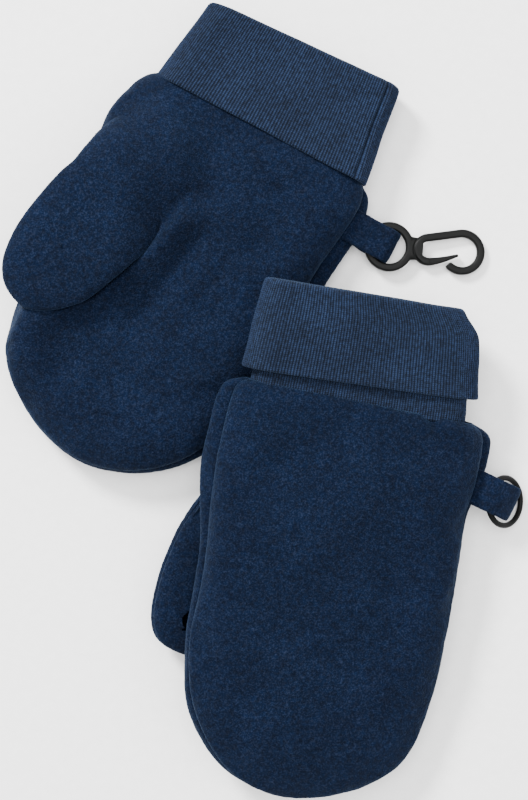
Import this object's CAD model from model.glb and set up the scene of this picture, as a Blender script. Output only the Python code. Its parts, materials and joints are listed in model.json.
"""Pair of navy fleece mittens with turned-back rib cuffs, folded straps, a clip hook and a ring.

Soft pieces are drawn in millimetres in each mitten's own seat: X across with the thumb towards -X,
Y along the arm with the fingers towards -Y, Z out of the seam plane. They are then set in the frame.
"""
import json
import math

import bmesh
import bpy
import numpy as np
from mathutils import Matrix, Vector


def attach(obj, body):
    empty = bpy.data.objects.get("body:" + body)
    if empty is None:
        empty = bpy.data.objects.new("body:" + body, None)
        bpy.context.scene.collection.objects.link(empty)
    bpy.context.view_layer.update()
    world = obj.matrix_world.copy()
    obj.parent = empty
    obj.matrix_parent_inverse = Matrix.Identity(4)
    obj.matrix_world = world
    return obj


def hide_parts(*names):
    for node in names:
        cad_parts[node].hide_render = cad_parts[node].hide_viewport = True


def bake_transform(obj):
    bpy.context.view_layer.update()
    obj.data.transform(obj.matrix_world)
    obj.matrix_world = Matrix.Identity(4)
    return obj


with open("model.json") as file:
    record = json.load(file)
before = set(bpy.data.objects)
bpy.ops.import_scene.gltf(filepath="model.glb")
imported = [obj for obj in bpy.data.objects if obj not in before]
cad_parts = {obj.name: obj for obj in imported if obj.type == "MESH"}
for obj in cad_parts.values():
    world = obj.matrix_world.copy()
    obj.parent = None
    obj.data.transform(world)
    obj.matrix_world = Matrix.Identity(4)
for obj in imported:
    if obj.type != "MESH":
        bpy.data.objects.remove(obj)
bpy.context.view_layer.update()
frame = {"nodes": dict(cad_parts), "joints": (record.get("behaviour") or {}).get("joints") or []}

MM = 0.001
JOINTS = {joint["name"]: joint for joint in frame["joints"]}
LATTICE = np.random.default_rng(11).uniform(-1.0, 1.0, (64, 64, 64))

# Seats, from the joints and the thumb root's place in the seat
THUMB_ROOT = (-28.3, -35.5, 14.0)


def seat_matrix(side, palm):
    """Seat of one mitten in the frame, for points in millimetres."""
    along = Vector(JOINTS[side + "_cuff_unfold"]["axis"]).normalized()
    up = -Vector(JOINTS[side + "_thumb_swing"]["axis"]).normalized()
    across = along.cross(up)
    root = Vector(JOINTS[side + "_thumb_swing"]["pos_m"])
    x, y, z = THUMB_ROOT
    origin = root - (across * x + along * y + up * palm * z) * MM
    turn = Matrix((across, along, up)).transposed().to_4x4()
    return Matrix.Translation(origin) @ turn @ Matrix.Scale(MM, 4)


SEATS = {"right": seat_matrix("right", 1), "left": seat_matrix("left", -1)}


def local(side, x, y, z):
    """A point of a seat in the frame, in metres."""
    return SEATS[side] @ Vector((x, y, z))


# ---------------------------------------------------------------- small helpers
def smooth(low, high, value):
    """0 before low, 1 after high, and an even rise between them."""
    t = np.clip((np.asarray(value, float) - low) / (high - low), 0.0, 1.0)
    return t * t * (3.0 - 2.0 * t)


def cloud(points, size):
    """Soft noise from -1 to 1 with lumps about size millimetres across."""
    q = np.asarray(points, float) / size
    cell = np.floor(q).astype(int)
    f = q - cell
    f = f * f * (3.0 - 2.0 * f)
    total = np.zeros(len(q))
    for i in (0, 1):
        for j in (0, 1):
            for k in (0, 1):
                weight = np.ones(len(q))
                for axis, corner in enumerate((i, j, k)):
                    weight *= f[:, axis] if corner else 1.0 - f[:, axis]
                total += weight * LATTICE[
                    (cell[:, 0] + i) % 64, (cell[:, 1] + j) % 64, (cell[:, 2] + k) % 64
                ]
    return total


def spline(rows, count):
    """Points evenly spaced by length on a Catmull-Rom curve through rows; X and Y come first."""
    rows = np.array(rows, float)
    padded = np.vstack([2 * rows[0] - rows[1], rows, 2 * rows[-1] - rows[-2]])
    dense = []
    for a, b, c, d in zip(padded, padded[1:], padded[2:], padded[3:]):
        for t in np.linspace(0.0, 1.0, 24, endpoint=False):
            dense.append(
                0.5 * (2 * b + (c - a) * t + (2 * a - 5 * b + 4 * c - d) * t * t
                       + (3 * b - a - 3 * c + d) * t ** 3)
            )
    dense.append(rows[-1])
    dense = np.array(dense)
    steps = np.linalg.norm(np.diff(dense[:, :2], axis=0), axis=1)
    length = np.concatenate([[0.0], np.cumsum(steps)])
    at = np.linspace(0.0, length[-1], count)
    return np.stack([np.interp(at, length, dense[:, k]) for k in range(dense.shape[1])], 1)


def distance_to(points, line):
    """Distance of each XY point from an open polyline."""
    best = np.full(len(points), 1e9)
    for a, b in zip(line[:-1], line[1:]):
        ab = b - a
        t = np.clip(((points - a) @ ab) / max(ab @ ab, 1e-12), 0.0, 1.0)
        best = np.minimum(best, np.linalg.norm(points - a - t[:, None] * ab, axis=1))
    return best


def grid_faces(rows, columns, closed=False):
    """Quads of a rows x columns grid of vertices, closed along its columns if asked."""
    faces = []
    last = columns if closed else columns - 1
    for r in range(rows - 1):
        for c in range(last):
            n = (c + 1) % columns
            faces.append((r * columns + c, r * columns + n, (r + 1) * columns + n, (r + 1) * columns + c))
    return faces


def make_object(name, points, faces, uv=None):
    """A mesh object from points in metres in the frame."""
    mesh = bpy.data.meshes.new(name)
    mesh.from_pydata([tuple(p) for p in points], [], faces)
    mesh.validate()
    if uv is not None:
        layer = mesh.uv_layers.new(name="weave")
        index = np.zeros(len(mesh.loops), int)
        mesh.loops.foreach_get("vertex_index", index)
        layer.data.foreach_set("uv", np.asarray(uv, np.float32)[index].ravel())
    mesh.update()
    obj = bpy.data.objects.new(name, mesh)
    bpy.context.scene.collection.objects.link(obj)
    return obj


def placed(points, matrix):
    """Seat points in millimetres, as frame points in metres."""
    m = np.array(matrix)
    return np.asarray(points) @ m[:3, :3].T + m[:3, 3]


def tidy_mesh(obj, core=None, centre=None, weld=0.02, core_weld=0.8):
    """Merges doubled vertices, more of them where core says they crowd, evens them out round centre
    (a point in the frame) and makes the faces agree."""
    work = bmesh.new()
    work.from_mesh(obj.data)
    work.verts.ensure_lookup_table()
    if core is not None:
        crowd = [work.verts[int(i)] for i in np.flatnonzero(core)]
        bmesh.ops.remove_doubles(work, verts=crowd, dist=core_weld * MM)
    bmesh.ops.remove_doubles(work, verts=work.verts, dist=weld * MM)
    if centre is not None:
        spot = Vector(centre)
        crowd = [v for v in work.verts if (v.co - spot).xy.length < 3.0 * MM]
        bmesh.ops.delete(work, geom=crowd, context="VERTS")
        rim = [e for e in work.edges if e.is_boundary
               and (0.5 * (e.verts[0].co + e.verts[1].co) - spot).xy.length < 6.5 * MM]
        patch = bmesh.ops.holes_fill(work, edges=rim, sides=0)["faces"]
        patch = bmesh.ops.triangulate(work, faces=patch)["faces"]
        for _ in range(2):
            own = set(patch)
            inside = {e for f in patch for e in f.edges if all(g in own for g in e.link_faces)}
            bmesh.ops.subdivide_edges(work, edges=list(inside), cuts=1)
            patch = [f for f in work.faces if (f.calc_center_median() - spot).xy.length < 4.0 * MM]
            patch = bmesh.ops.triangulate(work, faces=patch)["faces"] + [f for f in patch if f.is_valid]
            patch = list(set(patch))
            own = set(patch)
            inside = {e for f in patch for e in f.edges if all(g in own for g in e.link_faces)}
            bmesh.ops.beautify_fill(work, faces=patch, edges=list(inside), method="ANGLE")
            patch = [f for f in work.faces if (f.calc_center_median() - spot).xy.length < 4.0 * MM]
        for reach, turns in ((4.5, 30), (8.0, 10)):
            near = [v for v in work.verts if (v.co - spot).xy.length < reach * MM and not v.is_boundary]
            for _ in range(turns):
                bmesh.ops.smooth_vert(work, verts=near, factor=0.5, use_axis_x=True, use_axis_y=True,
                                      use_axis_z=True)
    bmesh.ops.recalc_face_normals(work, faces=work.faces)
    work.to_mesh(obj.data)
    work.free()


def coordinates(obj):
    co = np.zeros(len(obj.data.vertices) * 3)
    obj.data.vertices.foreach_get("co", co)
    return co.reshape(-1, 3)


def set_coordinates(obj, co):
    obj.data.vertices.foreach_set("co", np.asarray(co, float).ravel())
    obj.data.update()


def normals(obj):
    n = np.zeros(len(obj.data.vertices) * 3)
    obj.data.vertices.foreach_get("normal", n)
    return n.reshape(-1, 3)


def face_towards(obj, direction):
    """Turns the whole mesh so that it faces one way on the whole."""
    area = sum((p.normal * p.area for p in obj.data.polygons), Vector())
    if area.dot(direction) < 0:
        obj.data.flip_normals()
        obj.data.update()


def apply_modifiers(obj):
    """Bakes the modifiers into the mesh."""
    graph = bpy.context.evaluated_depsgraph_get()
    graph.update()
    baked = bpy.data.meshes.new_from_object(obj.evaluated_get(graph))
    obj.modifiers.clear()
    old = obj.data
    obj.data = baked
    bpy.data.meshes.remove(old)


def shade_smooth(obj):
    obj.data.polygons.foreach_set("use_smooth", [True] * len(obj.data.polygons))
    obj.data.update()


def nap(obj, depth=0.10):
    """Brushed pile: fine lumps in the surface itself."""
    co, n = coordinates(obj), normals(obj)
    mm = co / MM
    rise = 0.55 * cloud(mm, 0.9) + 0.45 * cloud(mm + 31.0, 2.1) + 0.5 * cloud(mm + 77.0, 5.5)
    set_coordinates(obj, co + n * (rise * depth * MM)[:, None])


def thicken(obj, thickness):
    """Gives the cloth its thickness, inwards."""
    solid = obj.modifiers.new("cloth", "SOLIDIFY")
    solid.thickness = thickness * MM
    solid.offset = -1.0
    solid.use_even_offset = False
    apply_modifiers(obj)


def refine(obj):
    """One smooth subdivision."""
    sub = obj.modifiers.new("fine", "SUBSURF")
    sub.levels = 1
    sub.render_levels = 1
    sub.boundary_smooth = "PRESERVE_CORNERS"
    apply_modifiers(obj)


# ---------------------------------------------------------------- materials
def node_material(name, roughness):
    material = bpy.data.materials.new(name)
    material.use_nodes = True
    tree = material.node_tree
    shader = tree.nodes["Principled BSDF"]
    shader.inputs["Roughness"].default_value = roughness
    return material, tree, shader


def add_node(tree, kind, **settings):
    node = tree.nodes.new(kind)
    for key, value in settings.items():
        if key in node.inputs:
            node.inputs[key].default_value = value
        else:
            setattr(node, key, value)
    return node


def noise(tree, coordinate, scale, detail=3.0, roughness=0.55):
    node = tree.nodes.new("ShaderNodeTexNoise")
    node.inputs["Scale"].default_value = scale
    node.inputs["Detail"].default_value = detail
    node.inputs["Roughness"].default_value = roughness
    tree.links.new(coordinate, node.inputs["Vector"])
    return node.outputs["Fac"]


def ramp(tree, value, stops):
    node = tree.nodes.new("ShaderNodeValToRGB")
    band = node.color_ramp
    while len(band.elements) < len(stops):
        band.elements.new(0.5)
    for element, (place, colour) in zip(band.elements, stops):
        element.position = place
        element.color = (*colour, 1.0)
    tree.links.new(value, node.inputs["Fac"])
    return node.outputs["Color"]


def mix(tree, factor, a, b, blend="MIX"):
    node = tree.nodes.new("ShaderNodeMix")
    node.data_type = "RGBA"
    node.blend_type = blend
    for socket, value in (("Factor", factor), ("A", a), ("B", b)):
        target = [s for s in node.inputs if s.name == socket and s.type in ("VALUE", "RGBA")]
        target = target[0] if socket == "Factor" else [s for s in target if s.type == "RGBA"][0]
        if hasattr(value, "is_linked"):
            tree.links.new(value, target)
        else:
            target.default_value = value
    return [s for s in node.outputs if s.type == "RGBA"][0]


def math_node(tree, operation, a, b=None):
    node = tree.nodes.new("ShaderNodeMath")
    node.operation = operation
    for socket, value in zip(node.inputs, (a, b)):
        if value is None:
            continue
        if hasattr(value, "is_linked"):
            tree.links.new(value, socket)
        else:
            socket.default_value = value
    return node.outputs[0]


def bump(tree, height, strength, distance, below=None):
    node = tree.nodes.new("ShaderNodeBump")
    node.inputs["Strength"].default_value = strength
    node.inputs["Distance"].default_value = distance
    tree.links.new(height, node.inputs["Height"])
    if below is not None:
        tree.links.new(below, node.inputs["Normal"])
    return node.outputs["Normal"]


def fleece_material(name, base, lift=1.0):
    """Short brushed pile: mottled colour, broken-up roughness, fine bump and a soft sheen."""
    material, tree, shader = node_material(name, 0.95)
    place = tree.nodes.new("ShaderNodeTexCoord").outputs["Object"]
    base = np.array(base) * lift
    fine = noise(tree, place, 1900.0, 2.0, 0.6)
    clumps = noise(tree, place, 640.0, 3.0, 0.6)
    brushed = noise(tree, place, 62.0, 3.0, 0.5)
    dark, pale = tuple(base * 0.66), tuple(base * 1.40)
    colour = ramp(tree, clumps, [(0.34, dark), (0.5, tuple(base)), (0.68, pale)])
    specks = ramp(tree, fine, [(0.33, (0.25, 0.45, 0.55)), (0.5, (0.9, 0.9, 0.9)), (0.67, (4.2, 2.3, 1.6))])
    colour = mix(tree, 0.85, colour, specks, "MULTIPLY")
    swept = ramp(tree, brushed, [(0.36, (0.86,) * 3), (0.64, (1.16,) * 3)])
    colour = mix(tree, 0.8, colour, swept, "MULTIPLY")
    tree.links.new(colour, shader.inputs["Base Color"])
    rough = ramp(tree, clumps, [(0.3, (0.86,) * 3), (0.7, (1.0,) * 3)])
    tree.links.new(rough, shader.inputs["Roughness"])
    shader.inputs["Specular IOR Level"].default_value = 0.06
    shader.inputs["Sheen Weight"].default_value = 0.07
    shader.inputs["Sheen Roughness"].default_value = 0.42
    shader.inputs["Sheen Tint"].default_value = (0.25, 0.48, 0.90, 1.0)
    soft = bump(tree, clumps, 0.6, 0.0006)
    tree.links.new(bump(tree, fine, 0.6, 0.0005, soft), shader.inputs["Normal"])
    return material


def rib_material(name, base):
    """Fine 1x1 rib: pale wales, dark valleys and the stitch rows across them, from the UV map."""
    material, tree, shader = node_material(name, 0.9)
    coordinate = tree.nodes.new("ShaderNodeTexCoord")
    place, weave = coordinate.outputs["Object"], coordinate.outputs["UV"]
    parts = tree.nodes.new("ShaderNodeSeparateXYZ")
    tree.links.new(weave, parts.inputs[0])
    wale = math_node(tree, "COSINE", math_node(tree, "MULTIPLY", parts.outputs["X"], 2 * math.pi))
    zig = math_node(tree, "MULTIPLY", math_node(tree, "ABSOLUTE", wale), 0.28)
    row_at = math_node(tree, "ADD", parts.outputs["Y"], zig)
    row = math_node(tree, "COSINE", math_node(tree, "MULTIPLY", row_at, 2 * math.pi))
    base = np.array(base)
    wale01 = math_node(tree, "MULTIPLY_ADD", wale, 0.5)
    wale01.node.inputs[2].default_value = 0.5
    row01 = math_node(tree, "MULTIPLY_ADD", row, 0.5)
    row01.node.inputs[2].default_value = 0.5
    colour = ramp(tree, wale01, [(0.0, tuple(base * 0.42)), (0.45, tuple(base)), (1.0, tuple(base * 1.42))])
    rows = ramp(tree, row01, [(0.0, (0.62,) * 3), (1.0, (1.24,) * 3)])
    colour = mix(tree, 0.8, colour, rows, "MULTIPLY")
    yarn = noise(tree, place, 900.0, 3.0, 0.6)
    colour = mix(tree, 0.85, colour, ramp(tree, yarn, [(0.36, (0.52,) * 3), (0.64, (1.62,) * 3)]), "MULTIPLY")
    patch = noise(tree, place, 45.0, 3.0, 0.5)
    colour = mix(tree, 0.7, colour, ramp(tree, patch, [(0.35, (0.80,) * 3), (0.65, (1.16,) * 3)]), "MULTIPLY")
    tree.links.new(colour, shader.inputs["Base Color"])
    rough = ramp(tree, yarn, [(0.3, (0.82,) * 3), (0.7, (0.98,) * 3)])
    tree.links.new(rough, shader.inputs["Roughness"])
    shader.inputs["Specular IOR Level"].default_value = 0.10
    shader.inputs["Sheen Weight"].default_value = 0.08
    shader.inputs["Sheen Roughness"].default_value = 0.4
    shader.inputs["Sheen Tint"].default_value = (0.35, 0.55, 0.9, 1.0)
    knit = bump(tree, math_node(tree, "MULTIPLY", wale01, row01), 0.55, 0.0003)
    tree.links.new(bump(tree, yarn, 0.45, 0.0003, knit), shader.inputs["Normal"])
    return material


def thread_material(name, base):
    material, tree, shader = node_material(name, 0.8)
    place = tree.nodes.new("ShaderNodeTexCoord").outputs["Object"]
    twist = noise(tree, place, 1400.0, 2.0, 0.5)
    base = np.array(base)
    colour = ramp(tree, twist, [(0.3, tuple(base * 0.6)), (0.7, tuple(base * 1.5))])
    tree.links.new(colour, shader.inputs["Base Color"])
    tree.links.new(bump(tree, twist, 0.5, 0.0003), shader.inputs["Normal"])
    shader.inputs["Sheen Weight"].default_value = 0.1
    return material


def plastic_material(name, base):
    """Moulded plastic: a soft even gloss with a faint grain and a little rubbed wear."""
    material, tree, shader = node_material(name, 0.38)
    place = tree.nodes.new("ShaderNodeTexCoord").outputs["Object"]
    grain = noise(tree, place, 2600.0, 2.0, 0.5)
    worn = noise(tree, place, 260.0, 4.0, 0.6)
    base = np.array(base)
    colour = ramp(tree, worn, [(0.35, tuple(base * 0.8)), (0.62, tuple(base)), (0.78, tuple(base * 1.6))])
    tree.links.new(colour, shader.inputs["Base Color"])
    rough = ramp(tree, worn, [(0.3, (0.34,) * 3), (0.7, (0.50,) * 3)])
    tree.links.new(rough, shader.inputs["Roughness"])
    shader.inputs["Specular IOR Level"].default_value = 0.09
    tree.links.new(bump(tree, grain, 0.12, 0.0002), shader.inputs["Normal"])
    return material


FLEECE = fleece_material("fleece_pile", (0.0017, 0.0047, 0.0146))
STRAP = fleece_material("strap_pile", (0.0018, 0.0048, 0.0148))
RIB = rib_material("rib_knit", (0.0057, 0.0106, 0.0249))
THREAD = thread_material("seam_thread", (0.007, 0.012, 0.030))
HOOK_PLASTIC = plastic_material("hook_plastic", (0.0026, 0.0028, 0.0028))
RING_PLASTIC = plastic_material("ring_plastic", (0.0026, 0.0028, 0.0028))


# ---------------------------------------------------------------- the hand of a mitten
# Side seam of each mitten, from the wrist on the thumb side round the fingertips to the other side:
# x, y, how far the upper panel bulges past the seam, and how far the lower one does.
RIGHT_SEAM = [
    (-34.6, 3.0, 0.6, 0.6), (-34.9, -7.0, 0.6, 0.6), (-39.3, -12.0, 1.4, 1.0), (-42.0, -18.0, 2.0, 1.4),
    (-43.2, -28.0, 2.6, 1.6), (-43.0, -45.0, 1.6, 1.6), (-42.2, -70.0, 1.2, 1.6), (-42.4, -92.0, 1.2, 1.8),
    (-40.4, -104.0, 1.4, 2.0), (-35.4, -114.0, 1.4, 2.0), (-27.6, -121.6, 1.4, 2.0),
    (-16.0, -127.6, 1.4, 2.0), (-2.0, -129.8, 1.4, 2.2), (12.0, -125.9, 1.4, 2.4),
    (22.8, -118.2, 1.2, 2.8), (30.0, -108.2, 1.0, 3.2), (34.0, -96.0, 0.8, 4.0), (35.4, -78.0, 0.6, 4.6),
    (35.6, -60.0, 0.6, 4.8), (35.9, -42.0, 0.6, 5.4), (37.4, -30.0, 0.6, 5.2), (38.2, -20.0, 0.8, 4.2),
    (37.2, -13.4, 0.8, 3.0), (34.9, -9.0, 0.6, 0.6), (34.6, 3.0, 0.6, 0.6),
]
LEFT_SEAM = [
    (-36.2, 0.8, 0.5, 1.2), (-39.4, -1.4, 0.6, 3.4), (-40.6, -6.0, 0.7, 4.4), (-41.4, -14.0, 0.8, 4.6),
    (-42.0, -25.0, 0.8, 4.4), (-41.9, -38.0, 0.8, 3.8), (-41.0, -53.0, 0.8, 2.4), (-40.9, -67.0, 0.8, 2.2),
    (-41.8, -80.0, 0.8, 1.6),
    (-40.8, -91.0, 0.8, 1.4), (-37.6, -103.0, 0.8, 2.4), (-31.2, -114.2, 0.8, 2.4),
    (-22.0, -123.6, 0.8, 1.8), (-10.0, -128.2, 0.8, 1.4), (2.0, -128.6, 0.8, 1.2), (17.0, -124.2, 0.8, 1.2),
    (28.2, -116.6, 0.8, 1.4), (34.0, -106.6, 0.8, 1.2), (37.6, -90.0, 0.8, 1.2), (38.8, -68.0, 0.8, 1.4),
    (39.0, -46.0, 0.8, 1.8), (38.4, -33.0, 0.8, 2.8), (39.8, -22.0, 0.9, 4.4), (40.2, -11.0, 0.9, 5.0),
    (39.4, -6.2, 0.8, 4.4), (36.2, -3.2, 0.5, 1.4),
]
NECK_HALF = 6.3
PILE = 2.2  # thickness of the fleece

# Where the wrist end of each panel turns down, and over what length
WRISTS = {"right": (-9.4, 6.5, 0.0), "left": (0.3, 4.2, -3.0)}


def u_rows(outline, spine_end, power=1.37):
    """Points on the spine inside a U-shaped outline, one for each outline point."""
    n = len(outline)
    half = n // 2
    top = 0.5 * (outline[0, :2] + outline[-1, :2])
    spine = np.zeros((n, 2))
    for i in range(n):
        f = i / half if i <= half else (n - 1 - i) / (n - 1 - half)
        t = 1.0 - (1.0 - min(f, 1.0)) ** power
        spine[i] = top + (np.array(spine_end) - top) * t
    return spine


def u_sheet(outline, spine_end, bulge, roll, middle, lower_steps=5, roll_steps=13, inner_steps=20):
    """Rows of XY points from the seam, out over the bulge and in to the spine.

    Returns the points, how far up its rolled edge each one is (0 at the seam, 1 on the crown),
    the distance from the silhouette, and how far in it is between the roll and the spine.
    """
    spine = u_rows(outline, spine_end)
    inward = spine - outline[:, :2]
    reach = np.linalg.norm(inward, axis=1)
    inward /= reach[:, None]
    width = np.minimum(roll, 0.86 * reach)
    points, rise, depth, inner = [], [], [], []
    for a in np.linspace(0.0, math.pi / 2, lower_steps, endpoint=False):
        points.append(outline[:, :2] - inward * (bulge * math.sin(a))[:, None])
        rise.append(np.full(len(outline), middle * (1.0 - math.cos(a))))
        depth.append(bulge * (1.0 - math.sin(a)))
        inner.append(np.zeros(len(outline)))
    for a in np.linspace(0.0, math.pi / 2, roll_steps):
        shift = -bulge + (bulge + width) * (1.0 - math.cos(a))
        points.append(outline[:, :2] + inward * shift[:, None])
        rise.append(np.full(len(outline), middle + (1.0 - middle) * math.sin(a)))
        depth.append(bulge + shift)
        inner.append(np.zeros(len(outline)))
    for t in np.linspace(0.0, 1.0, inner_steps + 1)[1:]:
        shift = width + (reach - width) * t
        points.append(outline[:, :2] + inward * shift[:, None])
        rise.append(np.ones(len(outline)))
        depth.append(bulge + shift)
        inner.append(np.full(len(outline), t))
    stack = [np.array(v) for v in (points, rise, depth, inner)]
    return stack[0].reshape(-1, 2), stack[1].ravel(), stack[2].ravel(), stack[3].ravel(), len(points)


def thumb_mound(xy):
    """Height of the palm over its plain crown where the thumb grows out of it."""
    x, y = xy[:, 0], xy[:, 1]
    axis = THUMB_ROOT[0] + (THUMB_ROOT[1] - y) * -0.222
    right = (x - axis) * 0.976
    across = np.where(right > 0, 1.0 - smooth(1.0, 25.0, right), 1.0 - 0.30 * smooth(3.0, 18.0, -right))
    return 9.6 * smooth(6.0, 38.0, -y - 3.0) * across


# Line where the thumb's edge meets the palm, from the crotch to the tip
CREASE = np.array([(-10.6, -40.0), (-11.5, -47.2), (-13.0, -56.6), (-14.5, -62.0), (-18.3, -71.6),
                   (-22.6, -82.8), (-29.6, -91.2), (-40.0, -96.0)])
CROTCH = np.array((-13.4, -49.0))
SPLIT_LEFT = np.array((-45.5, -27.0))
SPLIT_IN = np.array((-0.559, -0.829))  # across the split line, towards the thumb's tip


def past_split(xy):
    """Distance past the line where the thumb leaves the palm."""
    return (xy - SPLIT_LEFT) @ SPLIT_IN


def right_of_crease(xy):
    """How far a point lies on the palm's side of the crease."""
    return xy[:, 0] - np.interp(-xy[:, 1], -CREASE[:, 1], CREASE[:, 0])


def palm_folds(xy):
    """Soft ridge and valleys of the palm between the cuff and the thumb."""
    folds = soft_line(xy, [(-35.0, -19.0), (-21.2, -30.0), (-9.0, -39.5)], 4.2, -1.5)
    folds += soft_line(xy, [(-43.0, -24.0), (-31.5, -32.0), (-20.0, -37.0)], 3.6, 1.1)
    return folds + soft_line(xy, [(-26.0, -13.0), (-13.0, -24.0), (-3.0, -36.0)], 4.0, 0.9)


def crease_ridge(xy):
    """The palm's own swell along the thumb's edge, highest at the crotch."""
    past = right_of_crease(xy)
    tall = 4.6 - 3.0 * smooth(52.0, 92.0, -xy[:, 1])
    tall = tall * smooth(37.0, 50.0, -xy[:, 1]) * (1.0 - smooth(84.0, 98.0, -xy[:, 1]))
    return tall * smooth(-1.2, 2.4, past) * np.exp(-((np.maximum(past - 2.4, 0.0) / 7.0) ** 2))


def wrist_height(side, xy, crown):
    """Crown height that turns down to the wrist and ends under the rib tube's surface."""
    end, length, slant = WRISTS[side]
    end = end + slant * smooth(-16.0, 26.0, xy[:, 0])
    if side == "left":
        end = end - 1.3 * np.exp(-(((xy[:, 0] - 23.2) / 3.0) ** 2)) + 1.2 * smooth(24.5, 31.0, xy[:, 0])
    t = np.clip((end - xy[:, 1]) / length, 0.0, 1.0)
    turned = NECK_HALF + (crown - NECK_HALF) * np.sqrt(1.0 - (1.0 - t) ** 2)
    return turned - 1.6 * smooth(0.0, 1.0, xy[:, 1] - end)


def soft_line(xy, points, width, depth):
    """A soft valley along a line through points; depth may taper at its ends."""
    line = np.array(points, float)
    away = distance_to(xy, line)
    ends = np.linalg.norm(line[-1] - line[0])
    along = ((xy - line[0]) @ (line[-1] - line[0])) / ends
    fade = smooth(-0.15 * ends, 0.2 * ends, along) * (1.0 - smooth(0.8 * ends, 1.15 * ends, along))
    return -depth * np.exp(-((away / width) ** 2)) * fade


def hand_panel(side, palm, upper):
    """One fleece panel of a hand, over the side seam if upper and else under it."""
    seam = spline(RIGHT_SEAM if side == "right" else LEFT_SEAM, 301)
    is_palm = (palm > 0) == upper
    bulge = seam[:, 2] if upper else seam[:, 3]
    crown = 8.5 if upper else 8.35
    roll = 15.0 if upper else 12.0
    xy, rise, depth, inner, rows = u_sheet(seam, (-2.0, -113.0), bulge, roll, 0.32)
    height = wrist_height(side, xy, crown) * rise
    lift = smooth(0.0, 1.0, inner) * smooth(4.0, 30.0, -xy[:, 1])
    height += lift * (0.9 if upper else 0.1)
    seat_points = np.column_stack([xy, np.zeros(len(xy))])
    along = np.tile(np.arange(len(seam)) * 1.05, rows)
    near_seam = np.exp(-depth / 6.0) * np.sqrt(np.clip(rise, 0, 1))
    wander = cloud(np.column_stack([along / 9.0, depth / 30.0, np.full(len(along), 4.0 + upper)]), 1.0)
    height += 0.75 * near_seam * wander * smooth(8.0, 20.0, -xy[:, 1])
    broad = 0.55 * cloud(seat_points + (3.0, 5.0, 9.0 * upper), 21.0)
    height += (broad + 0.25 * cloud(seat_points + 40.0, 8.5)) * rise * (1.0 if upper else 0.35)
    if is_palm:
        mound = thumb_mound(xy) * np.sqrt(np.clip(rise, 0.0, 1.0))
        past = past_split(xy)
        if side == "right":
            under = smooth(0.0, 11.0, past) * (1.0 - smooth(-2.5, 1.0, right_of_crease(xy)))
        else:
            under = smooth(0.0, 11.0, past) * (1.0 - smooth(-6.0, 2.0, xy[:, 0] - CROTCH[0] - 6.0))
        height += mound * (1.0 - under) - 0.5 * under * smooth(8.0, 20.0, depth)
    if side == "right" and upper:
        height += (crease_ridge(xy) + palm_folds(xy)) * np.sqrt(np.clip(rise, 0.0, 1.0))
        height += soft_line(xy, [(-1.0, -48.0), (-3.5, -62.0), (-5.5, -76.0), (-8.0, -88.0)], 4.6, 1.9)
        height += soft_line(xy, [(12.0, -20.0), (20.0, -34.0), (22.0, -46.0)], 6.5, 1.0)
        height += soft_line(xy, [(-8.0, -14.0), (-11.0, -30.0), (-10.5, -46.0)], 5.0, 0.9)
    if side == "left" and upper:
        height += soft_line(xy, [(20.6, -1.5), (23.4, -5.0), (28.0, -10.5)], 1.9, 1.9)
        height += soft_line(xy, [(26.0, -3.5), (31.0, -6.5), (37.0, -9.5)], 3.4, -1.0)
        height += soft_line(xy, [(-22.0, -16.0), (-26.0, -40.0), (-25.0, -62.0)], 8.0, 0.7)
        height += soft_line(xy, [(12.0, -30.0), (16.0, -60.0), (12.0, -86.0)], 9.0, 0.5)
    height = np.maximum(height, 0.0)
    sign = 1.0 if upper else -1.0
    if side == "right" and not upper:
        height = np.minimum(height, 8.4)
    points = np.column_stack([xy, sign * height])
    name = f"{side}_{'palm' if is_palm else 'back'}_fleece"
    obj = make_object(name, placed(points, SEATS[side]), grid_faces(rows, len(seam)))
    tidy_mesh(obj, (inner > 0.5) & (xy[:, 1] < -96.0), local(side, -2.0, -113.0, sign * crown))
    face_towards(obj, SEATS[side].to_3x3() @ Vector((0, 0, sign)))
    relax(obj, side, sign)
    return obj


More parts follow.
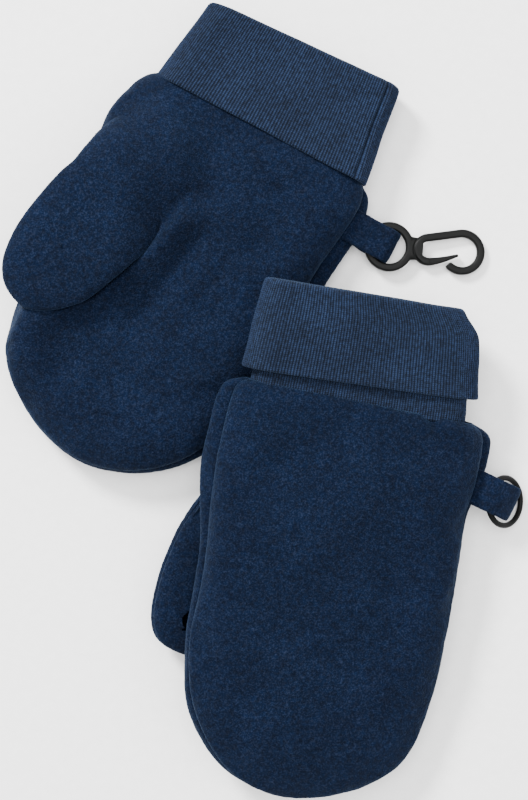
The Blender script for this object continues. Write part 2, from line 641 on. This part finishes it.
def relax(obj, side, sign, pressure=1.6, growth=0.012, cap=1.1, frames=14):
    """Cloth under light pressure, held at its seam, so that it puckers and swells like sewn fleece."""
    seat = np.array(SEATS[side].inverted())
    rest = coordinates(obj)
    flat = rest @ seat[:3, :3].T + seat[:3, 3]
    low = np.abs(flat[:, 2]) < 1.2
    wrist = flat[:, 1] > -12.0
    group = obj.vertex_groups.new(name="held")
    free = smooth(1.2, 5.0, np.abs(flat[:, 2])) * smooth(12.0, 26.0, -flat[:, 1])
    for index in np.flatnonzero(low | wrist):
        group.add([int(index)], 1.0, "REPLACE")
    cloth = obj.modifiers.new("cloth", "CLOTH")
    cloth.settings.quality = 4
    cloth.settings.mass = 0.15
    cloth.settings.tension_stiffness = 15.0
    cloth.settings.compression_stiffness = 15.0
    cloth.settings.shear_stiffness = 6.0
    cloth.settings.bending_stiffness = 0.25
    cloth.settings.use_pressure = True
    cloth.settings.uniform_pressure_force = pressure
    cloth.settings.shrink_min = -growth
    cloth.settings.effector_weights.gravity = 0.0
    cloth.settings.vertex_group_mass = "held"
    scene = bpy.context.scene
    for step in range(1, frames + 1):
        scene.frame_set(step)
    graph = bpy.context.evaluated_depsgraph_get()
    baked = obj.evaluated_get(graph).to_mesh()
    co = np.zeros(len(baked.vertices) * 3)
    baked.vertices.foreach_get("co", co)
    obj.evaluated_get(graph).to_mesh_clear()
    obj.modifiers.clear()
    obj.vertex_groups.clear()
    scene.frame_set(1)
    move = co.reshape(-1, 3) - rest
    size = np.linalg.norm(move, axis=1)
    print("relax", obj.name, "moves up to", round(float(size.max() / MM), 2), "mm, mean",
          round(float(size.mean() / MM), 2))
    limit = cap * MM * np.tanh(size / (cap * MM)) / np.maximum(size, 1e-9)
    final = rest + move * (limit * free)[:, None]
    if side == "right" and sign < 0:
        final[:, 2] = np.maximum(final[:, 2], 0.1 * MM)
    set_coordinates(obj, final)


def finish_fleece(obj, thickness=PILE, pile=0.10, material=FLEECE):
    """Fine surface, thickness and material of a fleece piece."""
    refine(obj)
    nap(obj, pile)
    co = coordinates(obj)
    co[:, 2] = np.maximum(co[:, 2], 0.1 * MM)
    set_coordinates(obj, co)
    thicken(obj, thickness)
    obj.data.materials.clear()
    obj.data.materials.append(material)
    shade_smooth(obj)


# ---------------------------------------------------------------- thumbs
RIGHT_THUMB = [
    (-40.2, -21.5), (-42.2, -27.0), (-44.6, -34.5), (-45.8, -42.7), (-46.6, -48.5), (-48.3, -53.4),
    (-50.4, -61.3), (-52.2, -71.3), (-52.5, -79.0), (-51.4, -86.0), (-48.6, -91.0), (-44.0, -94.2),
    (-38.3, -95.4), (-31.9, -92.4), (-24.6, -85.6), (-20.2, -76.6), (-16.8, -67.6), (-14.0, -58.5),
    (-12.0, -50.0), (-10.2, -43.6),
]
LEFT_THUMB = [
    (-39.6, -21.5), (-40.6, -28.0), (-42.6, -36.5), (-46.0, -45.5), (-48.9, -54.0), (-51.4, -64.0),
    (-52.6, -74.0), (-52.3, -81.0), (-50.2, -86.4), (-45.2, -89.6), (-38.3, -90.8), (-31.4, -88.8),
    (-24.6, -83.0), (-20.4, -75.6), (-17.4, -67.0), (-14.8, -58.5), (-13.4, -50.0), (-11.8, -43.6),
]
THUMB_MIDDLE = 14.0
THUMB_HALF = 5.0


def thumb_panel(side, palm, outer):
    """The side of the thumb pouch away from the palm if outer, and else the one against it."""
    outline = spline(RIGHT_THUMB if side == "right" else LEFT_THUMB, 151)
    ease = smooth(0.0, 16.0, past_split(outline[:, :2]))
    bulge = (1.0 if outer else 0.5) * ease
    xy, rise, depth, inner, rows = u_sheet(outline, (-40.0, -80.0), bulge, 8.5, 0.34, 4, 11, 10)
    past = past_split(xy)
    away = smooth(0.0, 24.0, past)
    ideal = wrist_height(side, xy, 8.5) + thumb_mound(xy)
    if side == "right":
        ideal += palm_folds(xy)
    edge = 10.0 + (THUMB_MIDDLE - 10.0) * smooth(0.0, 22.0, past)
    spot = np.column_stack([xy, np.zeros(len(xy))])
    if outer:
        top = THUMB_MIDDLE + THUMB_HALF + 0.35 * cloud(spot + 9.0, 13.0)
        pouch = edge + (top - edge) * rise
        shape = ideal * (1.0 - away) + pouch * away
        skirt = 1.0 - smooth(-3.0, 1.5, past)
        shape += 0.20 * (1.0 - skirt) - 0.45 * skirt
        side_drop = (1.0 - rise) * (1.0 - away)
        shape -= side_drop * 6.0 * smooth(4.0, 10.0, CROTCH[0] - xy[:, 0])
        shape -= side_drop * 1.4
    else:
        under = THUMB_MIDDLE - THUMB_HALF + 0.7
        pouch = edge - (edge - under) * rise
        shape = 3.0 * (1.0 - away) + pouch * away
    along = np.tile(np.arange(len(outline)) * 1.1, rows)
    wander = cloud(np.column_stack([along / 8.0, depth / 25.0, np.full(len(along), 8.0)]), 1.0)
    shape += (1.0 if outer else 0.2) * 0.5 * np.exp(-depth / 5.0) * wander * away * np.sqrt(rise)
    name = f"{side}_thumb_{'outer' if outer else 'inner'}_fleece"
    points = np.column_stack([xy, palm * shape])
    obj = make_object(name, placed(points, SEATS[side]), grid_faces(rows, len(outline)))
    tidy_mesh(obj, (inner > 0.4) & (xy[:, 1] < -70.0), local(side, -40.0, -80.0, palm * THUMB_MIDDLE))
    face_towards(obj, SEATS[side].to_3x3() @ Vector((0, 0, palm if outer else -palm)))
    return obj


# ---------------------------------------------------------------- rib cuffs
RIBS = 178


def slot_ring(count, half_width, up, down):
    """Points round a flattened tube, with each one's outward direction, as fractions of its sizes."""
    flat = half_width - 0.5 * (up + down)
    arc = math.pi * 0.5 * (up + down)
    total = 4 * flat + 2 * arc
    points, out = [], []
    for i in range(count):
        s = i / count * total
        if s < 2 * flat:
            points.append((-flat + s, up))
            out.append((0.0, 1.0))
            continue
        s -= 2 * flat
        if s < arc:
            a = s / arc * math.pi
            radius = up if a < math.pi / 2 else down
            points.append((flat + 0.5 * (up + down) * math.sin(a), radius * math.cos(a)))
            out.append((math.sin(a), math.cos(a)))
            continue
        s -= arc
        if s < 2 * flat:
            points.append((flat - s, -down))
            out.append((0.0, -1.0))
            continue
        s -= 2 * flat
        a = s / arc * math.pi
        radius = down if a < math.pi / 2 else up
        points.append((-flat - 0.5 * (up + down) * math.sin(a), -radius * math.cos(a)))
        out.append((-math.sin(a), -math.cos(a)))
    return np.array(points), np.array(out)


CUFFS = {
    "right": {"hem": -10.7, "fold": 20.4, "tilt": 0.055, "wide": 38.0, "narrow": 33.2, "shift": -0.7,
              "up": 9.3, "down": 8.4, "fold_up": 7.6, "fold_down": 7.6, "seam": ((29.6, 20.0), (33.4, -9.5)),
              "droop": (0.0, 0.0)},
    "left": {"hem": 4.6, "fold": 32.8, "tilt": -0.012, "wide": 38.4, "narrow": 34.6, "shift": -0.6,
             "up": 8.9, "down": 8.3, "fold_up": 8.0, "fold_down": 8.0, "seam": None,
             "droop": (-0.9, 2.3)},
}


def rib_tube(name, side, profile, sizes, per_rib, seam=None, rough=1.0, shut=False):
    """A ribbed tube swept through profile, a list of (y, outwards) pairs.

    sizes gives, at a height y, the half width, the half depths up and down, and how far y leans
    with x there. The UV map counts ribs across and stitch rows along.
    """
    count = RIBS * per_rib
    phase = np.arange(count) / per_rib
    points, uv = [], []
    length, last = 0.0, profile[0]
    for y0, out_by in profile:
        wide, up, down, lean, shift = sizes(y0)
        ring, out = slot_ring(count, wide, up, down)
        y = y0 + lean * ring[:, 0]
        y = y + 0.4 * cloud(np.column_stack([ring[:, 0], np.full(count, 3.0), np.full(count, 0.1 * y0)]), 12.0)
        spot = np.column_stack([ring[:, 0], y, ring[:, 1] * 2.0])
        soft = (0.50 * cloud(spot + 21.0, 14.0) + 0.22 * cloud(spot, 6.0)) * rough
        soft *= 0.3 + 0.7 * smooth(-4.0, 4.0, ring[:, 1])
        rise = out_by + soft + 0.15 * np.cos(2 * math.pi * phase)
        if side == "left":
            rise -= 1.9 * rough * smooth(4.0, 33.0, ring[:, 0]) * np.clip(out[:, 1], 0.0, 1.0) ** 2
        if seam and out_by > -1.5:
            (xa, ya), (xb, yb) = seam
            line_x = xa + (xb - xa) * (y - ya) / (yb - ya)
            groove = np.exp(-(((ring[:, 0] - line_x) / 0.55) ** 2))
            ridge = np.exp(-(((ring[:, 0] - line_x - 1.3) / 0.9) ** 2))
            rise += np.where(ring[:, 1] > 0, -0.85 * groove + 0.35 * ridge, 0.0)
        x = ring[:, 0] + out[:, 0] * rise + CUFFS[side]["shift"] + shift
        z = ring[:, 1] + out[:, 1] * rise
        if side == "right":
            z = np.maximum(z, -8.45)
        points.append(np.column_stack([x, y, z]))
        length += math.hypot(y0 - last[0], out_by - last[1])
        last = (y0, out_by)
        uv.append(np.column_stack([phase, np.full(count, length / 0.62)]))
    faces = grid_faces(len(profile), count, closed=True)
    if shut:
        last = (len(profile) - 1) * count
        faces += [(last + k, last + (k + 1) % count, (k + 1) % count, k) for k in range(count)]
    frame_points = placed(np.concatenate(points), SEATS[side])
    frame_points[:, 2] = np.maximum(frame_points[:, 2], 0.1 * MM)
    obj = make_object(name, frame_points, faces, np.concatenate(uv))
    upper = obj.data.polygons[len(profile) // 4 * count + count // 4]
    if upper.normal.dot(SEATS[side].to_3x3() @ Vector((0, 0, 1))) < 0:
        obj.data.flip_normals()
        obj.data.update()
    obj.data.materials.append(RIB)
    shade_smooth(obj)
    return obj


def cuff_turnback(side):
    """The turned-back outer tube: up from its hem, round the fold and a little way into the mouth."""
    cuff = CUFFS[side]
    hem, fold = cuff["hem"], cuff["fold"]
    profile = [(hem, -1.9), (hem - 0.25, -1.1), (hem - 0.1, -0.35), (hem + 0.3, 0.0)]
    profile += [(y, 0.0) for y in np.arange(hem + 0.75, fold - 1.2, 0.5)]
    profile += [(fold - 0.7, -0.15), (fold - 0.2, -0.6), (fold, -1.3), (fold - 0.15, -2.3), (fold - 0.8, -3.4)]
    profile += [(fold - s, -3.9) for s in np.arange(1.6, 6.0, 0.5)]

    def sizes(y):
        t = min(max((y - hem) / (fold - hem), 0.0), 1.0)
        drift, round_off = cuff["droop"]
        corner = round_off * float(smooth(0.62, 1.0, t)) ** 1.5
        return (cuff["wide"] + (cuff["narrow"] - cuff["wide"]) * t - corner,
                cuff["up"] + (cuff["fold_up"] - cuff["up"]) * t,
                cuff["down"] + (cuff["fold_down"] - cuff["down"]) * t, cuff["tilt"] * t,
                drift * t - corner)

    return rib_tube(side + "_rib_turnback", side, profile, sizes, 6, cuff["seam"])


def cuff_inner(side):
    """The inner rib tube, from the wrist seam up inside the fold, with its own thickness."""
    cuff = CUFFS[side]
    start = -3.5 if side == "left" else -7.0
    end = cuff["fold"] - 2.6
    outside = np.arange(start, end, 0.6)
    profile = [(y, 0.0) for y in outside] + [(end, -0.5), (end, -1.0)]
    profile += [(y, -1.4) for y in outside[::-1][::2]]

    def sizes(y):
        t = min(max(y / cuff["fold"], 0.0), 1.0)
        half = 6.1 + (cuff["fold_up"] - 2.2 - 6.1) * t
        drift, round_off = cuff["droop"]
        corner = round_off * float(smooth(0.72, 1.0, t)) ** 1.5
        return 35.0 + (cuff["narrow"] - 2.3 - 35.0) * t - corner, half, half, 0.0, drift * t - corner

    return rib_tube(side + "_rib_inner", side, profile, sizes, 4, None, 0.3, shut=True)


# ---------------------------------------------------------------- threads, straps, hardware
def tube(name, path, radius, sides=6, closed=False):
    """A round thread along a path of frame points in metres."""
    path = np.asarray(path, float)
    n = len(path)
    if closed:
        ahead, behind = np.roll(path, -1, 0), np.roll(path, 1, 0)
    else:
        ahead = np.vstack([path[1:], path[-1:]])
        behind = np.vstack([path[:1], path[:-1]])
    tangent = ahead - behind
    tangent /= np.linalg.norm(tangent, axis=1)[:, None]
    guide = np.array((0.13, 0.21, 0.97))
    side = np.cross(tangent, guide)
    side /= np.linalg.norm(side, axis=1)[:, None]
    over = np.cross(side, tangent)
    points = []
    for i in range(n):
        for k in range(sides):
            a = 2 * math.pi * k / sides
            points.append(path[i] + radius * MM * (math.cos(a) * side[i] + math.sin(a) * over[i]))
    faces = grid_faces(n, sides, closed=True)
    if closed:
        base = (n - 1) * sides
        faces += [(base + k, base + (k + 1) % sides, (k + 1) % sides, k) for k in range(sides)]
    else:
        faces += [tuple(range(sides))[::-1], tuple((n - 1) * sides + k for k in range(sides))]
    obj = make_object(name, points, faces)
    work = bmesh.new()
    work.from_mesh(obj.data)
    bmesh.ops.recalc_face_normals(work, faces=work.faces)
    work.to_mesh(obj.data)
    work.free()
    obj.data.materials.append(THREAD)
    shade_smooth(obj)
    return obj


def overlock(name, side, outline, height, near, far, pitch=1.6):
    """Zigzag thread just inside a seam."""
    spine = u_rows(outline, outline[len(outline) // 2, :2] * 0.86)
    inward = spine - outline[:, :2]
    inward /= np.linalg.norm(inward, axis=1)[:, None]
    length = np.concatenate([[0], np.cumsum(np.linalg.norm(np.diff(outline[:, :2], axis=0), axis=1))])
    stops = np.arange(4.0, length[-1] - 4.0, pitch / 2)
    path = []
    for i, s in enumerate(stops):
        spot = [np.interp(s, length, outline[:, k]) for k in (0, 1)]
        way = np.array([np.interp(s, length, inward[:, k]) for k in (0, 1)])
        spot = np.array(spot) + way * (near if i % 2 else far)
        path.append((*spot, height + (0.25 if i % 2 else -0.25)))
    return tube(name, placed(path, SEATS[side]), 0.22)


def ribbon(name, matrix, path, width, thickness):
    """A fleece band of rounded section that follows a path in its own XZ plane, in millimetres."""
    line = spline([(x, z) for x, z in path], 90)
    tangent = np.gradient(line, axis=0)
    tangent /= np.linalg.norm(tangent, axis=1)[:, None]
    normal = np.column_stack([-tangent[:, 1], tangent[:, 0]])
    section = []
    for a in np.linspace(0.0, 2 * math.pi, 56, endpoint=False):
        c, s = math.cos(a), math.sin(a)
        section.append((0.5 * width * math.copysign(abs(c) ** 0.35, c),
                        0.5 * thickness * math.copysign(abs(s) ** 0.7, s)))
    points = []
    for i, (x, z) in enumerate(line):
        for across, out in section:
            points.append((x + normal[i, 0] * out, across, z + normal[i, 1] * out))
    faces = grid_faces(len(line), len(section), closed=True)
    n = len(section)
    faces += [tuple(range(n)), tuple((len(line) - 1) * n + k for k in range(n))[::-1]]
    obj = make_object(name, placed(points, matrix), faces)
    work = bmesh.new()
    work.from_mesh(obj.data)
    bmesh.ops.recalc_face_normals(work, faces=work.faces)
    work.to_mesh(obj.data)
    work.free()
    nap(obj, 0.12)
    obj.data.materials.append(STRAP)
    shade_smooth(obj)
    return obj


def strap_matrix(origin, turn, slope):
    """Frame of a strap: origin at its folded end in millimetres, X towards that end."""
    place = Matrix.Translation(Vector(origin) * MM)
    return (place @ Matrix.Rotation(math.radians(turn), 4, "Z")
            @ Matrix.Rotation(math.radians(slope), 4, "Y") @ Matrix.Scale(MM, 4))


def hook_matrix():
    """Frame of the hook's plane: origin at the eye, X along the hook, in millimetres."""
    eye, root = (Vector(JOINTS[name]["pos_m"]) for name in ("hook_swivel", "gate_flex"))
    up = Vector(JOINTS["hook_swivel"]["axis"]).normalized()
    way = root - eye
    way = (way - up * way.dot(up)).normalized()
    along = Matrix.Rotation(-math.atan2(GATE_ROOT[1], GATE_ROOT[0]), 3, up) @ way
    turn = Matrix((along, up.cross(along), up)).transposed().to_4x4()
    return Matrix.Translation(eye) @ turn @ Matrix.Scale(MM, 4)


def bar(path, widths, thickness, closed=False):
    """Vertices and faces of a bar with a rounded oblong section along a flat path."""
    path, widths = np.array(path, float), np.array(widths, float)
    if closed:
        tangent = np.roll(path, -1, 0) - np.roll(path, 1, 0)
    else:
        tangent = np.gradient(path, axis=0)
    tangent /= np.linalg.norm(tangent, axis=1)[:, None]
    normal = np.column_stack([-tangent[:, 1], tangent[:, 0]])
    sides = 24
    points = []
    for i, spot in enumerate(path):
        for k in range(sides):
            a = 2 * math.pi * k / sides
            c, h = math.cos(a), math.sin(a)
            out = 0.5 * widths[i] * math.copysign(abs(c) ** 0.55, c)
            up = 0.5 * thickness * math.copysign(abs(h) ** 0.55, h)
            points.append((spot[0] + normal[i, 0] * out, spot[1] + normal[i, 1] * out, up))
    faces = grid_faces(len(path), sides, closed=True)
    last = (len(path) - 1) * sides
    if closed:
        faces += [(last + k, last + (k + 1) % sides, (k + 1) % sides, k) for k in range(sides)]
    else:
        faces += [tuple(range(sides)), tuple(last + k for k in range(sides))[::-1]]
    return points, faces


def arc(centre, radius, start, end, count):
    angles = np.radians(np.linspace(start, end, count))
    return [(centre[0] + radius * math.cos(a), centre[1] + radius * math.sin(a)) for a in angles]


def moulding(name, node, bars, matrix, voxel, smoothing, groove=False):
    """Bars melted into one moulded piece with soft inside corners."""
    points, faces = [], []
    for bar_points, bar_faces in bars:
        base = len(points)
        points += bar_points
        faces += [tuple(base + i for i in face) for face in bar_faces]
    obj = make_object(name, points, faces)
    work = bmesh.new()
    work.from_mesh(obj.data)
    bmesh.ops.recalc_face_normals(work, faces=work.faces)
    work.to_mesh(obj.data)
    work.free()
    melt = obj.modifiers.new("melt", "REMESH")
    melt.mode = "VOXEL"
    melt.voxel_size = voxel
    soften = obj.modifiers.new("soften", "SMOOTH")
    soften.factor = 0.5
    soften.iterations = smoothing
    apply_modifiers(obj)
    co = coordinates(obj)
    if groove:
        away = np.hypot(co[:, 0] - HEEL[0], co[:, 1]) - 4.9
        cut = 0.32 * np.exp(-((away / 0.28) ** 2)) * smooth(0.0, 0.5, 11.0 - co[:, 0])
        co[:, 2] -= np.sign(co[:, 2]) * cut * smooth(0.6, 1.1, np.abs(co[:, 2]))
    set_coordinates(obj, placed(co, matrix))
    shade_smooth(obj)
    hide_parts(node)
    return obj


GATE_ROOT = (13.4, -3.85)
HEEL, BOW = (12.9, 0.0), (23.9, 0.0)


def hook_pieces():
    """The snap hook and its spring tongue."""
    matrix = hook_matrix()
    eye = bar(arc((0.0, 0.0), 6.75, 0, 357, 120), [2.6] * 120, 2.6, closed=True)
    neck = bar([(5.9, 0.0), (7.4, 0.0), (8.6, 0.0), (9.8, 0.0), (11.0, 0.0)], [8.6, 7.6, 7.3, 7.5, 6.4], 2.6)
    lean = math.degrees(math.asin((6.1 - 3.9) / 11.0))
    path = arc(HEEL, 3.9, 280, 90 + lean, 34) + arc(BOW, 6.1, 90 + lean, -136, 70)
    path = spline(path, 150)
    widths = 2.62 - 0.9 * smooth(146.5, 150.0, np.arange(150))
    body = bar(path, widths, 2.6)
    hook = moulding("snap_hook_moulding", "snap_hook", [eye, neck, body], matrix, 0.17, 3, groove=True)
    tongue_path = spline([(13.3, -3.9), (15.4, -3.5), (18.6, -2.6), (22.6, -1.15)], 40)
    tongue = bar(tongue_path, 2.6 - 1.7 * np.linspace(0, 1, 40) ** 1.2, 2.2)
    gate = moulding("hook_gate_moulding", "hook_gate", [tongue], matrix, 0.14, 2)
    return hook, gate


def ring_piece():
    """The moulded ring, with a fine parting line round its outside."""
    co = coordinates(frame["nodes"]["o_ring"])
    centre = 0.5 * (co.min(0) + co.max(0))
    values, ways = np.linalg.eigh(np.cov((co - centre).T))
    axis = Vector(ways[:, 0])
    if axis.z < 0:
        axis = -axis
    across = axis.orthogonal().normalized()
    over = axis.cross(across)
    flat = np.linalg.norm((co - centre) - np.outer((co - centre) @ np.array(axis), np.array(axis)), axis=1)
    big, wire = 0.5 * (flat.max() + flat.min()), 0.5 * (flat.max() - flat.min())
    points = []
    rounds, sides = 144, 28
    for i in range(rounds):
        a = 2 * math.pi * i / rounds
        out = across * math.cos(a) + over * math.sin(a)
        for k in range(sides):
            b = 2 * math.pi * k / sides
            r = wire * (1.0 - 0.05 * math.exp(-((math.sin(b) / 0.16) ** 2)) * (math.cos(b) > 0))
            points.append(Vector(centre) + out * (big + r * math.cos(b)) + axis * (r * math.sin(b)))
    faces = grid_faces(rounds, sides, closed=True)
    base = (rounds - 1) * sides
    faces += [(base + k, base + (k + 1) % sides, (k + 1) % sides, k) for k in range(sides)]
    obj = make_object("ring_moulding", points, faces)
    work = bmesh.new()
    work.from_mesh(obj.data)
    bmesh.ops.recalc_face_normals(work, faces=work.faces)
    work.to_mesh(obj.data)
    work.free()
    shade_smooth(obj)
    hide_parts("o_ring")
    return obj


for side, palm in (("right", 1), ("left", -1)):
    body, thumb = side + "_mitten", side + "_thumb"
    for upper in (True, False):
        panel = hand_panel(side, palm, upper)
        finish_fleece(panel)
        node = "palm_panel" if "palm" in panel.name else "back_panel"
        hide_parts(f"{side}_{node}")
        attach(panel, body)
    for outer in (True, False):
        pouch = thumb_panel(side, palm, outer)
        finish_fleece(pouch, 1.5)
        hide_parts(f"{side}_thumb_{'front' if outer else 'rear'}")
        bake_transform(pouch)
    turnback = cuff_turnback(side)
    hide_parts(side + "_cuff_turnback")
    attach(turnback, side + "_cuff_fold")
    inner_tube = cuff_inner(side)
    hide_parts(side + "_cuff_inner")
    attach(inner_tube, body)

    seam = spline(RIGHT_SEAM if side == "right" else LEFT_SEAM, 301)
    seam_thread = overlock(side + "_side_overlock", side, seam, 0.0, 3.2, 5.6)
    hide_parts(side + "_side_seam")
    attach(seam_thread, body)
    outline = spline(RIGHT_THUMB if side == "right" else LEFT_THUMB, 151)
    outline = outline[40:-36]
    thumb_thread = overlock(side + "_thumb_overlock", side, outline, palm * THUMB_MIDDLE, 2.4, 4.2)
    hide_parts(side + "_thumb_seam")
    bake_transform(thumb_thread)
    ring, out = slot_ring(240, 33.0, 4.2, 4.2)
    zigzag = np.column_stack([ring[:, 0], np.where(np.arange(240) % 2, 1.2, -1.2), ring[:, 1]])
    cuff_thread = tube(side + "_cuff_overlock", placed(zigzag, SEATS[side]), 0.25, closed=True)
    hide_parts(side + "_cuff_seam")
    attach(cuff_thread, body)

# Straps: the fold is at the origin, and the sewn end goes back to the side seam.
RIGHT_STRAP_PATH = [
    (-18.4, 5.3), (-15.5, 5.6), (-12.4, 4.9), (-9.0, 3.5), (-5.5, 2.95), (-2.6, 2.5), (-0.85, 0.0),
    (-2.6, -2.5), (-5.5, -2.8), (-8.6, -2.3), (-10.8, 0.4), (-12.6, 3.2), (-15.6, 4.1), (-18.4, 3.9),
]
LEFT_STRAP_PATH = [
    (-19.5, -5.2), (-16.0, -2.6), (-12.6, 1.2), (-9.0, 2.6), (-5.5, 2.8), (-2.6, 2.4), (-0.85, 0.0),
    (-2.6, -2.4), (-5.5, -2.7), (-8.6, -2.3), (-11.6, -1.4), (-14.6, -3.6), (-19.0, -6.8),
]
right_end = local("right", 55.4, -23.8, 0.0)
right_strap = ribbon("right_strap_fleece",
                     strap_matrix((right_end.x / MM, right_end.y / MM, 3.6), -28.0, 0.0),
                     RIGHT_STRAP_PATH, 10.8, 1.5)
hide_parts("right_loop")
root = Vector(JOINTS["right_strap_flap"]["pos_m"])
way = (Vector(JOINTS["hook_swivel"]["pos_m"]) - root)
way = Vector((way.x, way.y, 0.0)).normalized()
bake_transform(right_strap)
left_strap = ribbon("left_strap_fleece", strap_matrix((79.9, -35.3, 5.4), -25.3, 38.0),
                    LEFT_STRAP_PATH, 11.4, 1.5)
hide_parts("left_loop")
root = Vector(JOINTS["left_strap_flap"]["pos_m"])
way = (Vector(JOINTS["ring_flip"]["pos_m"]) - root).normalized()
way = Vector((0.72, -0.34, -0.60)).normalized()
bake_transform(left_strap)

hook, gate = hook_pieces()
for piece, body in ((hook, "hook"), (gate, "gate")):
    piece.data.materials.append(HOOK_PLASTIC)
    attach(piece, body)
ring = ring_piece()
ring.data.materials.append(RING_PLASTIC)
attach(ring, "ring")

NODE_MATERIALS = {"seam": THREAD, "loop": STRAP, "cuff": RIB, "hook": HOOK_PLASTIC, "gate": HOOK_PLASTIC,
                  "ring": RING_PLASTIC}
for name, node in frame["nodes"].items():
    chosen = next((m for key, m in NODE_MATERIALS.items() if key in name), FLEECE)
    for index in range(len(node.material_slots)):
        node.material_slots[index].material = chosen


# ---------------------------------------------------------------- floor, light and camera
def floor():
    material, tree, shader = node_material("paper", 0.85)
    place = tree.nodes.new("ShaderNodeTexCoord").outputs["Object"]
    tooth = noise(tree, place, 300.0, 3.0, 0.5)
    tree.links.new(ramp(tree, tooth, [(0.3, (0.90, 0.90, 0.90)), (0.7, (0.94, 0.94, 0.94))]),
                   shader.inputs["Base Color"])
    size = 3.0
    mesh = bpy.data.meshes.new("floor")
    mesh.from_pydata([(-size, -size, 0), (size, -size, 0), (size, size, 0), (-size, size, 0)], [],
                     [(0, 1, 2, 3)])
    obj = bpy.data.objects.new("floor", mesh)
    bpy.context.scene.collection.objects.link(obj)
    mesh.materials.append(material)
    obj.location.z = -0.0002


def area_light(name, place, target, size, power):
    light = bpy.data.lights.new(name, "AREA")
    light.shape = "DISK"
    light.size = size
    light.energy = power
    obj = bpy.data.objects.new(name, light)
    obj.location = place
    obj.rotation_euler = (Vector(target) - Vector(place)).to_track_quat("-Z", "Y").to_euler()
    bpy.context.scene.collection.objects.link(obj)


floor()
area_light("key", (-0.75, 0.95, 1.0), (0, 0, 0), 0.40, 60.0)
area_light("fill", (0.9, -0.3, 1.3), (0, 0, 0), 1.2, 9.0)
area_light("overhead", (-0.1, 0.25, 1.8), (0, 0, 0), 1.4, 37.0)
world = bpy.data.worlds.new("studio")
world.use_nodes = True
world.node_tree.nodes["Background"].inputs["Color"].default_value = (1.0, 1.0, 1.0, 1.0)
world.node_tree.nodes["Background"].inputs["Strength"].default_value = 1.38
bpy.context.scene.world = world

camera_data = bpy.data.cameras.new("camera")
camera_data.lens = 100.0
camera_data.sensor_width = 36.0
camera_data.sensor_fit = "AUTO"
camera = bpy.data.objects.new("camera", camera_data)
camera.location = (-0.00052, -0.00144, 0.012 + 0.7111)
bpy.context.scene.collection.objects.link(camera)
bpy.context.scene.camera = camera
